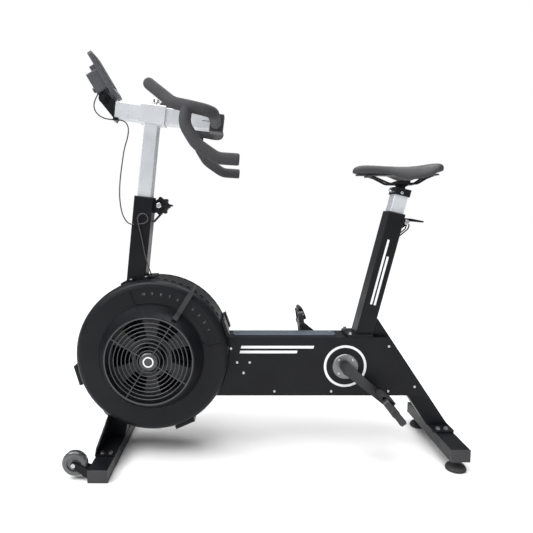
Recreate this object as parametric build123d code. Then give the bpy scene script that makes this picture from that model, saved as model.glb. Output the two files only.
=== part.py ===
from build123d import *
import math
import os

# An air bike: a fan-braked exercise bike with a long low body, a fan drum at its front,
# a handlebar post that leans over the drum and a seat post that leans back.
# Millimetres. +X points from the fan to the seat, +Z is up, and the rider's left side is -Y.

# ---- whole machine
HOOP_RADIUS = 243
HOOP_HALF_WIDTH = 45
HOOP_WALL = 4
FAN_X, FAN_Z = -363, 339
SHELL_GAP = 1.5
CRANK_X, CRANK_Z = 258.3, 293
JACK_X, JACK_Z = -73, 293.5
BODY_BOTTOM, BODY_TOP = 194, 389
BODY_HALF_WIDTH = 48
PANEL_THICKNESS = 2
RUNNING_CLEARANCE = 0.05

# ---- drive
LARGE_PULLEY, SMALL_PULLEY = 55, 17
BELT_THICKNESS = 2.5
BELT_CLEARANCE = 0.05
DRIVE_BELT_Y = (16, 28)
FAN_BELT_Y = (-28, -16)
CRANK_LENGTH = 160
CRANK_ANGLE = -39.9
CRANK_AXLE_RADIUS = 10
PEDAL_SPINDLE_RADIUS = 7
JACKSHAFT_RADIUS = 8.5
FAN_AXLE_RADIUS = 8.5

# ---- feet of the machine
FRONT_STAB_X = -502.5
FRONT_STAB_HALF_LENGTH = 241.5
REAR_STAB_X = 582
REAR_STAB_HALF_LENGTH = 194
REAR_STAB_BOTTOM = 39
STAB_WIDTH, STAB_HEIGHT = 60, 38.5
LEG_WIDTH = 50
WHEEL_X, WHEEL_Y, WHEEL_Z = -575, 215, 50
WHEEL_RADIUS, WHEEL_HALF_WIDTH = 38, 12
AXLE_RADIUS = 4
FOOT_X, FOOT_Y = 584, 158
FOOT_STUD_RADIUS = 5

# ---- posts: each local frame has Z along the post
POST_LEAN = 6.5
POST_FOOT = (-421.9, 0, 575)
POST_DEPTH, POST_WIDTH = 60, 66
POST_TOP = 266
SEAT_LEAN = 13.63
SEAT_FOOT = (322.5, 0, 397)
SEAT_DEPTH, SEAT_WIDTH = 54, 74
SEAT_TOP = 402
TUBE_WALL = 3
INNER_POST = (44, 54)
INNER_SEAT = (44, 56)
INNER_POST_SPAN = (110, 520)
INNER_SEAT_SPAN = (100, 475)
SLIDE_CLEARANCE = 0.1

# ---- stem and handlebar
STEM_LEAN = 7.05
STEM_CENTRE = (-360, 0, 1099)
STEM_SIZE = 50
STEM_SPAN = (-118, 219)
SLEEVE_SPAN = (-40, 40)
BAR_RADIUS = 17
BAR_CORE_RADIUS = 12.7
BAR_X, BAR_Z = -160, 1068

# ---- console, tilted away from the rider about its pivot
CONSOLE_PIVOT = (-511, 0, 1148.5)
CONSOLE_TILT = 30.3
CONSOLE_HALF_WIDTH = 46
CONSOLE_FACE = 42
BUTTON_RADIUS = 6
BUTTON_Y = (-24, 0, 24)
PIVOT_RADIUS = 5

# ---- saddle
SADDLE_X = (278, 562)
RAIL_RADIUS, RAIL_Y = 3.5, 22

# ---- console lead: the corner points of its three lengths
LEAD_DIAMETER = 4
LEAD_UPPER = [(-525.6, -30, 1163.1), (-537, -30, 1144), (-543, -31, 1121), (-534, -30, 1099),
              (-512, -27, 1085), (-491, -22, 1083), (-470, -20, 1082)]
LEAD_MIDDLE = [(-470, -20, 1082), (-449, -18, 1081), (-435, -25, 1058), (-437, -34, 1026),
               (-448, -38, 991), (-455, -38, 950), (-463, -38, 900), (-467, -38, 850),
               (-464, -38, 808), (-456, -37.5, 776), (-438, -36, 751.65), (-418, -36, 754)]
LEAD_LOWER = [(-418, -36, 754), (-401, -36, 756), (-387.5, -36, 757), (-378, -36.5, 766),
              (-378, -37.5, 779), (-387.5, -38.5, 788), (-400.5, -39.5, 788),
              (-409.5, -40.5, 779), (-410, -41.2, 765), (-406, -41, 745), (-401, -38, 722),
              (-395, -36, 688), (-389, -36, 652), (-380, -34, 617), (-371, -30, 590)]

POST = Pos(*POST_FOOT) * Rot(0, POST_LEAN, 0)
SEAT = Pos(*SEAT_FOOT) * Rot(0, SEAT_LEAN, 0)
STEM = Pos(*STEM_CENTRE) * Rot(0, STEM_LEAN, 0)
CONSOLE = Pos(*CONSOLE_PIVOT) * Rot(0, -CONSOLE_TILT, 0)


# ---------------------------------------------------------------- helpers

def box(x, y, z):
    """A box from its (low, high) pairs."""
    size = [high - low for low, high in (x, y, z)]
    centre = [(high + low) / 2 for low, high in (x, y, z)]
    return Pos(*centre) * Box(*size)


def tube(x, y, z, wall, along):
    """A rectangular tube whose open ends face the axis named by along (0, 1 or 2)."""
    inner = [(low + wall, high - wall) for low, high in (x, y, z)]
    low, high = (x, y, z)[along]
    inner[along] = (low - 1, high + 1)
    return box(x, y, z) - box(*inner)


def cyl_y(x, z, radius, y):
    """A cylinder along Y between the two y values."""
    return Pos(x, (y[0] + y[1]) / 2, z) * Rot(90, 0, 0) * Cylinder(radius, y[1] - y[0])


def cyl_x(y, z, radius, x):
    """A cylinder along X between the two x values."""
    return Pos((x[0] + x[1]) / 2, y, z) * Rot(0, 90, 0) * Cylinder(radius, x[1] - x[0])


def cyl_z(x, y, radius, z):
    """A cylinder along Z between the two z values."""
    return Pos(x, y, (z[0] + z[1]) / 2) * Cylinder(radius, z[1] - z[0])


def ring_y(x, z, outer, inner, y):
    """A plain ring whose axis runs along Y."""
    return cyl_y(x, z, outer, y) - cyl_y(x, z, inner, (y[0] - 1, y[1] + 1))


def plate_xz(points, y):
    """A flat plate with an outline in XZ, between the two y values."""
    face = Plane.XZ * Polygon(*points, align=None)
    return Pos(0, y[1], 0) * extrude(face, amount=y[1] - y[0], dir=(0, -1, 0))


def plate_yz(points, x):
    """A flat plate with an outline in YZ, between the two x values."""
    face = Plane.YZ * Polygon(*points, align=None)
    return Pos(x[0], 0, 0) * extrude(face, amount=x[1] - x[0], dir=(1, 0, 0))


def rounded_xz(points, radii, y):
    """A plate in XZ whose outline has rounded corners."""
    outline = FilletPolyline(*[(a, b, 0) for a, b in points], radius=radii, close=True)
    face = Plane.XZ * make_face(outline)
    return Pos(0, y[1], 0) * extrude(face, amount=y[1] - y[0], dir=(0, -1, 0))


def hull_xz(circles, y):
    """The solid that a tight band round some circles (x, z, radius) encloses."""
    edges = []
    for x, z, radius in circles:
        edges += (Pos(x, z) * Circle(radius)).edges()
    face = Plane.XZ * make_hull(edges)
    return Pos(0, y[1], 0) * extrude(face, amount=y[1] - y[0], dir=(0, -1, 0))


def turned(profile, x, z):
    """A solid turned about the Y axis through (x, z), from (radius, y) points."""
    return Pos(x, 0, z) * revolve(Polygon(*profile, align=None), Axis.Y)


def group(shapes):
    """Separate solids kept together as one node."""
    return Compound([solid for shape in shapes for solid in shape.solids()])


def mirrored(shape):
    """The same shape on the other side of the machine."""
    return mirror(shape, Plane.XZ)


def corner_radii(points):
    """Bend radii as large as the two runs at each corner allow."""
    radii = []
    for before, corner, after in zip(points, points[1:], points[2:]):
        run_in = Vector(corner) - Vector(before)
        run_out = Vector(after) - Vector(corner)
        half_turn = math.radians(run_in.get_angle(run_out)) / 2
        shorter = min(run_in.length, run_out.length)
        radii.append(0.45 * shorter / math.tan(half_turn))
    return radii


def bent_rod(points, radius, radii=None):
    """A round rod along straight runs joined by tangent bends."""
    path = FilletPolyline(*points, radius=radii or corner_radii(points))
    start = Plane(origin=path @ 0, z_dir=path % 0)
    return sweep(start * Circle(radius), path=path)


def screw_y(x, z, y, outward, head_radius=5.5, head=3.5):
    """A round screw head that sits on a face at y and points outward (+1 or -1)."""
    ends = sorted((y, y + outward * head))
    dome = cyl_y(x, z, head_radius, ends)
    return fillet(dome.edges().group_by(Axis.Y)[-1 if outward > 0 else 0], head * 0.45)


def bolt_z(x, y, z, head_radius=7, head=5):
    """A hexagon bolt head with a washer, standing on a face at height z."""
    washer = cyl_z(x, y, head_radius * 1.25, (z, z + 1.5))
    head_face = Pos(x, y, z + 1.5) * RegularPolygon(head_radius, 6)
    return washer + extrude(head_face, amount=head)


# ---------------------------------------------------------------- frame

REAR_FACE_TOP = (366.8, 446.2)
REAR_FACE_SLOPE = 0.6762
LEG_DEPTH_X = 70
FLANGE_THICKNESS = 6


def rear_face_x(z):
    """X of the rear leg's back face at height z."""
    return REAR_FACE_TOP[0] + (REAR_FACE_TOP[1] - z) * REAR_FACE_SLOPE


def leg_front_x(z):
    return rear_face_x(z) - LEG_DEPTH_X


def fan_drum(radius):
    """The space inside a radius round the fan's axis."""
    return cyl_y(FAN_X, FAN_Z, radius, (-400, 400))


def fan_radial(angle):
    """A frame at the fan's centre whose X axis points outward at an angle from +X to +Z."""
    return Pos(FAN_X, 0, FAN_Z) * Rot(0, -angle, 0)


def fan_hoop():
    """The rolled steel ring that carries the fan, with a slot for the fan belt."""
    hoop = ring_y(FAN_X, FAN_Z, HOOP_RADIUS, HOOP_RADIUS - HOOP_WALL,
                  (-HOOP_HALF_WIDTH, HOOP_HALF_WIDTH))
    belt_slot = box((FAN_X + 200, FAN_X + 260), (-34, -10), (222, 375))
    lead_hole = cyl_z(LEAD_LOWER[-1][0], LEAD_LOWER[-1][1], 3, (FAN_Z + 200, FAN_Z + 260))
    return hoop - belt_slot - lead_hole


def body_frame():
    """Two rails between the hoop and the rear leg, and plates that hold the shafts."""
    rail_y = (-BODY_HALF_WIDTH, BODY_HALF_WIDTH)
    lower_z = (BODY_BOTTOM, BODY_BOTTOM + 39)
    upper_z = (BODY_TOP - 36, BODY_TOP)
    rails = tube((-150, 480), rail_y, lower_z, TUBE_WALL, 0)
    rails += tube((-150, 480), rail_y, upper_z, TUBE_WALL, 0)
    plate_z = (lower_z[1], upper_z[0])
    for side in (-1, 1):
        plate_y = sorted((side * 43, side * 48))
        rails += box((205, 312), plate_y, plate_z)
        rails += box((-112, -28), plate_y, plate_z)
    rails -= cyl_y(CRANK_X, CRANK_Z, 26, (-60, 60))
    rails -= cyl_y(JACK_X, JACK_Z, 17.5, (-60, 60))
    rails -= fan_drum(HOOP_RADIUS)
    slab = [(leg_front_x(100), 100), (700, 100), (700, 450), (leg_front_x(450), 450)]
    return rails - plate_xz(slab, (-60, 60))


def rear_leg():
    """The slanted leg behind the seat tube, with a flange on the rear stabilizer."""
    foot_z = REAR_STAB_BOTTOM + STAB_HEIGHT
    top_z = foot_z + FLANGE_THICKNESS
    lean = math.radians(SEAT_LEAN)
    back_low = SEAT_FOOT[0] + SEAT_DEPTH / 2 / math.cos(lean) + 0.05
    back_high = back_low + (REAR_FACE_TOP[1] - SEAT_FOOT[2]) * math.tan(lean)
    outline = [(leg_front_x(top_z), top_z), (rear_face_x(top_z), top_z), REAR_FACE_TOP,
               (back_high, REAR_FACE_TOP[1]), (back_low, SEAT_FOOT[2]), (back_low, BODY_TOP),
               (leg_front_x(BODY_TOP), BODY_TOP)]
    half = LEG_WIDTH / 2
    leg = plate_xz(outline, (-half, half))
    wall = TUBE_WALL * 1.2
    hollow_top = BODY_TOP - 12
    hollow = [(leg_front_x(top_z) + wall, top_z), (rear_face_x(top_z) - wall, top_z),
              (rear_face_x(hollow_top) - wall, hollow_top),
              (leg_front_x(hollow_top) + wall, hollow_top)]
    leg -= plate_xz(hollow, (-half + TUBE_WALL, half - TUBE_WALL))
    flange = box((545, 615), (-76, 76), (foot_z, top_z))
    leg += fillet(flange.edges().filter_by(Axis.Z), 12)
    for x, z in ((399, 359), (487, 224)):
        for side in (-1, 1):
            leg += cyl_y(x, z, 8, sorted((side * half, side * BODY_HALF_WIDTH)))
    return leg


def front_leg():
    """The short front leg, with a wide flange and a slanted foot plate."""
    foot_z = STAB_HEIGHT
    flange = box((-535, -470), (-158, 158), (foot_z, foot_z + FLANGE_THICKNESS))
    flange = fillet(flange.edges().filter_by(Axis.Z), 6)
    half = LEG_WIDTH / 2
    top_z = 180
    slope = 0.22
    outline = [(-529, foot_z + 3), (-472, foot_z + 3), (-472 + slope * 140, top_z),
               (-529 + slope * 140, top_z)]
    leg = plate_xz(outline, (-half, half)) - plate_xz(
        [(x + (4 if x < -500 or x == -529 + slope * 140 else -4), z) for x, z in outline],
        (-half + TUBE_WALL, half - TUBE_WALL))
    lean = math.degrees(math.atan(slope))
    gusset = plate_yz([(-158, 0), (158, 0), (158, 28), (70, 98), (-70, 98), (-158, 28)], (0, 5))
    gusset = Pos(-534, 0, foot_z + 4) * Rot(0, lean, 0) * gusset
    return flange + gusset + (leg - fan_drum(HOOP_RADIUS))


def side_panel():
    """The left sheet-steel cover of the body."""
    rear_slope = 0.657
    corner = (359.7, 451.6)
    rear = [(corner[0] + (corner[1] - z) * rear_slope, z) for z in (BODY_BOTTOM, BODY_TOP)]
    outline = [(-190, BODY_BOTTOM), rear[0], rear[1], (-190, BODY_TOP)]
    outer = -BODY_HALF_WIDTH - PANEL_THICKNESS
    panel = plate_xz(outline, (outer, -BODY_HALF_WIDTH))
    panel -= fan_drum(HOOP_RADIUS + 0.3)
    return panel - cyl_y(CRANK_X, CRANK_Z, 26, (-60, -40))


def top_cover():
    """The grey strip along the top of the body."""
    strip = box((-108, 231), (-28, 28), (BODY_TOP, BODY_TOP + 5))
    strip = fillet(strip.edges().filter_by(Axis.Z), 10)
    return fillet(strip.edges().group_by(Axis.Z)[-1], 2)


def wheel_fork():
    """Two ears that hold one transport wheel, welded to the front stabilizer."""
    front = FRONT_STAB_X - STAB_WIDTH / 2 + 1
    ears = []
    for offset in (-WHEEL_HALF_WIDTH - 4.6, WHEEL_HALF_WIDTH + 0.6):
        y = (-WHEEL_Y + offset, -WHEEL_Y + offset + 4)
        ear = hull_xz([(WHEEL_X, WHEEL_Z, 9), (front - 3, 18, 8), (front - 3, 29, 8)], y)
        ear -= box((front, 0), (-300, 300), (-10, 80))
        ears.append(ear - cyl_y(WHEEL_X, WHEEL_Z, AXLE_RADIUS, (-300, 0)))
    return ears[0] + ears[1]


def front_stabilizer():
    """The front cross tube, which rests on its end caps, with its wheel forks."""
    x = (FRONT_STAB_X - STAB_WIDTH / 2 + 1, FRONT_STAB_X + STAB_WIDTH / 2 - 1)
    end = FRONT_STAB_HALF_LENGTH - 4
    cross = tube(x, (-end, end), (1, STAB_HEIGHT), TUBE_WALL, 1)
    fork = wheel_fork()
    return cross + fork + mirrored(fork)


def rear_stabilizer():
    """The rear cross tube, with threaded holes for the levelling feet."""
    x = (REAR_STAB_X - STAB_WIDTH / 2 + 1, REAR_STAB_X + STAB_WIDTH / 2 - 1)
    z = (REAR_STAB_BOTTOM + 0.5, REAR_STAB_BOTTOM + STAB_HEIGHT)
    end = REAR_STAB_HALF_LENGTH - 4
    cross = tube(x, (-end, end), z, TUBE_WALL, 1)
    for side in (-1, 1):
        cross -= cyl_z(FOOT_X, side * FOOT_Y, FOOT_STUD_RADIUS + RUNNING_CLEARANCE, (30, 55))
    return cross


def stabilizer_caps():
    """Four plastic end caps with their plugs."""
    caps = []
    for x, bottom, half_length in ((FRONT_STAB_X, 0, FRONT_STAB_HALF_LENGTH),
                                   (REAR_STAB_X, REAR_STAB_BOTTOM, REAR_STAB_HALF_LENGTH)):
        half = STAB_WIDTH / 2
        top = bottom + STAB_HEIGHT
        lip = box((x - half, x + half), (-half_length, -half_length + 4), (bottom, top))
        lip = fillet(lip.edges().group_by(Axis.Y)[0], 1.5)
        tube_bottom = bottom + (1 if bottom == 0 else 0.5)
        plug = box((x - half + 4, x + half - 4), (-half_length + 4, -half_length + 24),
                   (tube_bottom + TUBE_WALL, top - TUBE_WALL))
        caps += [lip + plug, mirrored(lip + plug)]
    return group(caps)


def clamp_ears(x, z):
    """Two ears and two stays for a cam lever, in a post's own frame, behind its back face."""
    ears = []
    for side in (-1, 1):
        y = sorted((side * 11, side * 15))
        ear = hull_xz([(x, z, 9), (x - 14, z + 6, 8), (x - 14, z - 18, 8)], y)
        rod_y = side * 12.8
        stay = bent_rod([(x + 3, rod_y, z - 2), (x + 13, rod_y, z - 6), (x + 12, rod_y, z - 20),
                         (x - 14, rod_y, z - 56)], 2, [5, 9])
        ears.append(ear + stay)
    return ears[0] + ears[1] - cyl_y(x, z, PIVOT_RADIUS, (-30, 30))


SEAT_PIVOT = (41, 384)
POST_PIVOT = (48, 246)
POST_LUG_ANGLES = (94.8, 106)
KNOB_Y = POST_WIDTH / 2 + 0.8


def seat_tube():
    """The outer seat tube with its base flange and the ears of its cam lever."""
    half_x, half_y = SEAT_DEPTH / 2, SEAT_WIDTH / 2
    ears = clamp_ears(*SEAT_PIVOT)
    outer = fillet(box((-half_x, half_x), (-half_y, half_y), (-60, SEAT_TOP))
                   .edges().filter_by(Axis.Z), 4)
    bore = box((-half_x + TUBE_WALL, half_x - TUBE_WALL), (-half_y + TUBE_WALL, half_y - TUBE_WALL),
               (-80, SEAT_TOP + 1))
    post = SEAT * ((outer + ears) - bore)
    post -= box((200, 500), (-100, 100), (200, SEAT_FOOT[2]))
    flange = box((262, 349), (-BODY_HALF_WIDTH, BODY_HALF_WIDTH), (BODY_TOP, SEAT_FOOT[2]))
    return post + fillet(flange.edges().filter_by(Axis.Z), 8)


def post_tube():
    """The outer front post, welded to a saddle plate on the hoop."""
    half_x, half_y = POST_DEPTH / 2, POST_WIDTH / 2
    ears = clamp_ears(*POST_PIVOT)
    x, y, z = LEAD_LOWER[0]
    lead_clip = box((x - 4, x + 4), (y - 4, -half_y + 1), (z - 4, z + 4)) - lead(LEAD_LOWER)
    lead_clip -= lead(LEAD_MIDDLE)
    outer = fillet(box((-half_x, half_x), (-half_y, half_y), (-40, POST_TOP))
                   .edges().filter_by(Axis.Z), 4)
    bore = box((-half_x + TUBE_WALL, half_x - TUBE_WALL), (-half_y + TUBE_WALL, half_y - TUBE_WALL),
               (-60, POST_TOP + 1))
    post = (POST * (outer + ears) + lead_clip) - POST * bore
    post -= fan_drum(HOOP_RADIUS + FLANGE_THICKNESS)
    half = HOOP_HALF_WIDTH
    saddle = ring_y(FAN_X, FAN_Z, HOOP_RADIUS + FLANGE_THICKNESS, HOOP_RADIUS, (-half, half))
    saddle &= box((-468, -359), (-half, half), (500, 620))
    for angle in POST_LUG_ANGLES:
        lug = box((HOOP_RADIUS + 0.2, HOOP_RADIUS + FLANGE_THICKNESS), (-62, 1 - half), (-8, 8))
        saddle += fan_radial(angle) * lug
    saddle -= cyl_z(LEAD_LOWER[-1][0], LEAD_LOWER[-1][1], 3, (FAN_Z + 200, FAN_Z + 260))
    return post + saddle


def tube_guide(outer, inner, span, lip):
    """A plastic guide inside the top of an outer tube, in the post's frame."""
    half_x, half_y = outer[0] / 2 - TUBE_WALL, outer[1] / 2 - TUBE_WALL
    in_x, in_y = inner[0] / 2 + SLIDE_CLEARANCE, inner[1] / 2 + SLIDE_CLEARANCE
    guide = box((-half_x, half_x), (-half_y, half_y), span)
    rim = box((-outer[0] / 2, outer[0] / 2), (-outer[1] / 2, outer[1] / 2), (span[1], span[1] + lip))
    guide += fillet(rim.edges().filter_by(Axis.Z), 4)
    return guide - box((-in_x, in_x), (-in_y, in_y), (span[0] - 1, span[1] + lip + 1))


def tube_guides():
    seat = SEAT * tube_guide((SEAT_DEPTH, SEAT_WIDTH), INNER_SEAT, (SEAT_TOP - 90, SEAT_TOP), 3)
    post = POST * tube_guide((POST_DEPTH, POST_WIDTH), INNER_POST, (POST_TOP - 90, POST_TOP), 3)
    return group([seat, post])


# ---------------------------------------------------------------- fan housing

CONE_BASE_RADIUS, CONE_TOP_RADIUS = 166, 140
FACE_Y, CONE_Y = 105, 155
SHELL_WALL = 3
DAMPER_SLOT = (168.5, 174.5)
DAMPER_SECTOR = (14, 104)
LEVER_ANGLE = 58
INLET_WINDOWS = 6


def annular_windows(inner, outer, y, angle, first=0):
    """Cutters for the inlet windows: sectors between two radii."""
    ring = ring_y(FAN_X, FAN_Z, outer, inner, y)
    step = 360 / INLET_WINDOWS
    reach = outer * 2
    half = math.radians(angle / 2)
    cutters = []
    for index in range(INLET_WINDOWS):
        middle = math.radians(first + index * step)
        corners = [(FAN_X, FAN_Z)]
        for turn in (middle - half, middle + half):
            corners.append((FAN_X + reach * math.cos(turn), FAN_Z + reach * math.sin(turn)))
        cutters.append(ring & plate_xz(corners, y))
    return cutters


def sector_xz(inner, outer, angles, y):
    """Part of a flat ring between two angles, in degrees from +X towards +Z."""
    start, end = (math.radians(angle) for angle in angles)
    reach = outer * 1.6
    corners = [(FAN_X, FAN_Z)]
    steps = 4
    for index in range(steps + 1):
        turn = start + (end - start) * index / steps
        corners.append((FAN_X + reach * math.cos(turn), FAN_Z + reach * math.sin(turn)))
    return ring_y(FAN_X, FAN_Z, outer, inner, y) & plate_xz(corners, y)


def fan_shell_body():
    """The left dished shell: rim, flat face, raised cone and inner guide plate."""
    rim_y = HOOP_HALF_WIDTH + SHELL_GAP
    outer = [(243, -rim_y), (243, -72), (241, -86), (237, -96), (231, -102), (223, -FACE_Y),
             (CONE_BASE_RADIUS, -FACE_Y), (CONE_TOP_RADIUS, -CONE_Y)]
    inner = [(CONE_TOP_RADIUS - 3, -CONE_Y), (CONE_TOP_RADIUS - 3, -CONE_Y + 2),
             (CONE_BASE_RADIUS - 4, -FACE_Y + SHELL_WALL), (222, -FACE_Y + SHELL_WALL),
             (229, -99), (234, -93), (238, -84), (240, -71), (240, -rim_y)]
    shell = turned(outer + inner, FAN_X, FAN_Z)
    guide = ring_y(FAN_X, FAN_Z, 239.9, 42, (-88, -86))
    for window in annular_windows(64, 126, (-90, -84), 34):
        guide -= window
    shell += guide
    for angle in range(-40, 110, 6):
        turn = math.radians(angle)
        centre = (FAN_X + 242 * math.cos(turn), FAN_Z + 242 * math.sin(turn))
        slot = Pos(centre[0], -60, centre[1]) * Rot(0, -angle, 0) * Box(14, 18, 14)
        shell -= slot
    return shell


def left_fan_shell():
    """The left shell, with the damper's slot and the raised ends of its scale."""
    shell = fan_shell_body()
    shell -= sector_xz(*DAMPER_SLOT, DAMPER_SECTOR, (-110, -98))
    for angle in (DAMPER_SECTOR[0] - 3, DAMPER_SECTOR[1] + 3):
        bar = fan_radial(angle) * box((177, 221), (-108, -104), (-2, 2))
        shell += bar
    return shell


def fan_grille():
    """The left wire grille: rings on four spokes, round a hub cap."""
    wire = 1.6
    hub_radius = 28
    grille = ring_y(FAN_X, FAN_Z, CONE_TOP_RADIUS - 3, CONE_TOP_RADIUS - 7, (-CONE_Y, -CONE_Y + 4))
    middle_y = -CONE_Y + 2
    pitch = 12.2
    for index in range(8):
        radius = hub_radius + 6 + index * pitch
        grille += Pos(FAN_X, middle_y, FAN_Z) * Rot(90, 0, 0) * Torus(radius, wire)
    for angle in (58, 148, 238, 328):
        spoke = box((hub_radius - 2, CONE_TOP_RADIUS - 5), (-CONE_Y, -CONE_Y + 4), (-1.2, 1.2))
        grille += fan_radial(angle) * spoke
    cap = turned([(0, -CONE_Y - 4), (21, -CONE_Y - 4), (24, -CONE_Y - 3), (hub_radius, -CONE_Y),
                  (hub_radius, -CONE_Y + 4), (0, -CONE_Y + 4)], FAN_X, FAN_Z)
    return grille + cap


def shell_clips():
    """Clips that bridge the hoop and hold the two shells to it."""
    clips = []
    inner = HOOP_RADIUS
    for angle, width in ((195.5, 66), (-66, 66), (20, 50)):
        clip = box((inner, inner + 6), (-70, 70), (-width / 2, width / 2))
        lugs = box((inner, inner + 10), (-84, -46), (-width / 2, width / 2))
        clip += lugs + mirrored(lugs)
        clips.append(fan_radial(angle) * clip)
    return group(clips)


def fan_axle():
    """The fixed fan axle and the two bars that hold it across the hoop."""
    reach = HOOP_RADIUS - HOOP_WALL
    axle = cyl_y(FAN_X, FAN_Z, FAN_AXLE_RADIUS, (-46, 48))
    for y in ((-43, -37), (38, 44)):
        bar = box((FAN_X - 20, FAN_X + 20), y, (FAN_Z - reach, FAN_Z + reach))
        axle += bar & fan_drum(reach)
    return axle


def damper():
    """The turning air damper: a windowed disc behind the shell, and its outside lever."""
    disc = ring_y(FAN_X, FAN_Z, 178, 50, (-96, -93.5))
    for window in annular_windows(64, 126, (-98, -92), 34):
        disc -= window
    profile = [(148, -142), (152, -146), (170, -116), (228, -111), (246, -106), (272, -108),
               (272, -103), (244, -100), (230, -106.5), (169, -109), (167, -110.5)]
    face = Plane.XY * Polygon(*profile, align=None)
    tab = Pos(0, 0, -4) * extrude(face, amount=8, dir=(0, 0, 1))
    grip = Pos(0, 0, -8) * extrude(face, amount=16, dir=(0, 0, 1))
    lever = tab + (grip & box((100, 240), (-200, 0), (-10, 10)))
    stem = box((169.5, 173.5), (-112, -93.5), (-4, 4))
    return disc + fan_radial(LEVER_ANGLE) * (lever + stem)


def fan_wheel():
    """The bladed fan wheel, its hub and the small pulley that drives it."""
    hub = cyl_y(FAN_X, FAN_Z, 26, (0, 35)) + cyl_y(FAN_X, FAN_Z, SMALL_PULLEY, (-31, 0))
    wheel = hub + ring_y(FAN_X, FAN_Z, 212, 20, (12, 14.5))
    blades = 22
    for index in range(blades):
        blade = box((74, 210), (-8, 35), (-1.25, 1.25))
        wheel += Pos(FAN_X, 0, FAN_Z) * Rot(0, index * 360 / blades, 0) * blade
    wheel += ring_y(FAN_X, FAN_Z, 214, 208, (8, 20))
    wheel -= cyl_y(FAN_X, FAN_Z, FAN_AXLE_RADIUS + RUNNING_CLEARANCE, (-40, 40))
    return wheel - cyl_y(FAN_X, FAN_Z, 17.5 + RUNNING_CLEARANCE, (0.5, 40))


# ---------------------------------------------------------------- drive

def crank_housing():
    """The left flanged housing of a crank bearing, on the side panel."""
    outer = -BODY_HALF_WIDTH - PANEL_THICKNESS
    housing = turned([(21, -38), (26, -38), (26, outer), (41.5, outer), (41.5, outer - 4),
                      (39, outer - 6), (13, outer - 6), (13, -52), (21, -52)], CRANK_X, CRANK_Z)
    return housing


def bearings():
    """Crank housings, and plain rings for the bearings of the crank, jackshaft and fan."""
    crank = ring_y(CRANK_X, CRANK_Z, 21, CRANK_AXLE_RADIUS + RUNNING_CLEARANCE, (-52, -40))
    jack = ring_y(JACK_X, JACK_Z, 17.5, JACKSHAFT_RADIUS + RUNNING_CLEARANCE, (-48, -43))
    rings = [crank_housing(), mirrored(crank_housing())]
    rings += [crank, mirrored(crank), jack, mirrored(jack)]
    for y in ((1, 11), (23, 33)):
        rings.append(ring_y(FAN_X, FAN_Z, 17.5, FAN_AXLE_RADIUS, y))
    return group(rings)


def belt(first, second, y):
    """A belt round two pulleys, each (x, z, radius)."""
    inner = [(x, z, radius + BELT_CLEARANCE) for x, z, radius in (first, second)]
    outer = [(x, z, radius + BELT_THICKNESS) for x, z, radius in inner]
    return hull_xz(outer, y) - hull_xz(inner, (y[0] - 1, y[1] + 1))


def drive_belt():
    return belt((CRANK_X, CRANK_Z, LARGE_PULLEY), (JACK_X, JACK_Z, SMALL_PULLEY), DRIVE_BELT_Y)


def fan_belt():
    return belt((JACK_X, JACK_Z, LARGE_PULLEY), (FAN_X, FAN_Z, SMALL_PULLEY), FAN_BELT_Y)


def spoked_pulley(x, z, bore, y):
    """A large pulley with a thin web and round openings."""
    middle = (y[0] + y[1]) / 2
    pulley = ring_y(x, z, LARGE_PULLEY, LARGE_PULLEY - 6, y)
    pulley += ring_y(x, z, LARGE_PULLEY - 5, bore, (middle - 2, middle + 2))
    pulley += ring_y(x, z, bore + 8, bore, y)
    for index in range(5):
        turn = math.radians(index * 72)
        hole = (x + 34 * math.cos(turn), z + 34 * math.sin(turn))
        pulley -= cyl_y(*hole, 9, (middle - 5, middle + 5))
    return pulley


def jackshaft():
    """The intermediate shaft with its small and large pulleys."""
    shaft = cyl_y(JACK_X, JACK_Z, JACKSHAFT_RADIUS, (-47.5, 47.5))
    shaft += cyl_y(JACK_X, JACK_Z, SMALL_PULLEY, (14, 30))
    return shaft + spoked_pulley(JACK_X, JACK_Z, JACKSHAFT_RADIUS - 1, (-30, -14))


def crank_axle():
    """The crank axle with the large drive pulley on it."""
    axle = cyl_y(CRANK_X, CRANK_Z, CRANK_AXLE_RADIUS, (-92, 92))
    return axle + spoked_pulley(CRANK_X, CRANK_Z, CRANK_AXLE_RADIUS - 1, (14, 30))


def pedal_centre(side):
    """X and Z of a pedal's spindle: side is -1 on the left, +1 on the right."""
    turn = math.radians(CRANK_ANGLE if side < 0 else CRANK_ANGLE + 180)
    return CRANK_X + CRANK_LENGTH * math.cos(turn), CRANK_Z + CRANK_LENGTH * math.sin(turn)


def crank_arm(side):
    """A crank arm with its boss, axle cap and pedal spindle."""
    x, z = pedal_centre(side)
    arm = hull_xz([(CRANK_X, CRANK_Z, 17), (x, z, 13)], (-93, -80))
    arm += cyl_y(CRANK_X, CRANK_Z, 18, (-94, -62))
    arm -= cyl_y(CRANK_X, CRANK_Z, CRANK_AXLE_RADIUS, (-92, -50))
    arm += cyl_y(x, z, 10, (-99, -93)) + cyl_y(x, z, PEDAL_SPINDLE_RADIUS, (-196, -93))
    cap = cyl_y(CRANK_X, CRANK_Z, 11, (-96, -93))
    arm += fillet(cap.edges().group_by(Axis.Y)[0], 1)
    return arm if side < 0 else mirrored(arm)


PEDAL_PITCH = {-1: 51, 1: 81}
PEDAL_SPAN = (-194, -100)
PEDAL_HALF_LENGTH = 48


def place_pedal(shape, side):
    """Moves a left-hand pedal piece, drawn toe forward about the origin, to its spindle."""
    x, z = pedal_centre(side)
    shape = shape if side < 0 else mirrored(shape)
    return Pos(x, 0, z) * Rot(0, PEDAL_PITCH[side], 0) * shape


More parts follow.
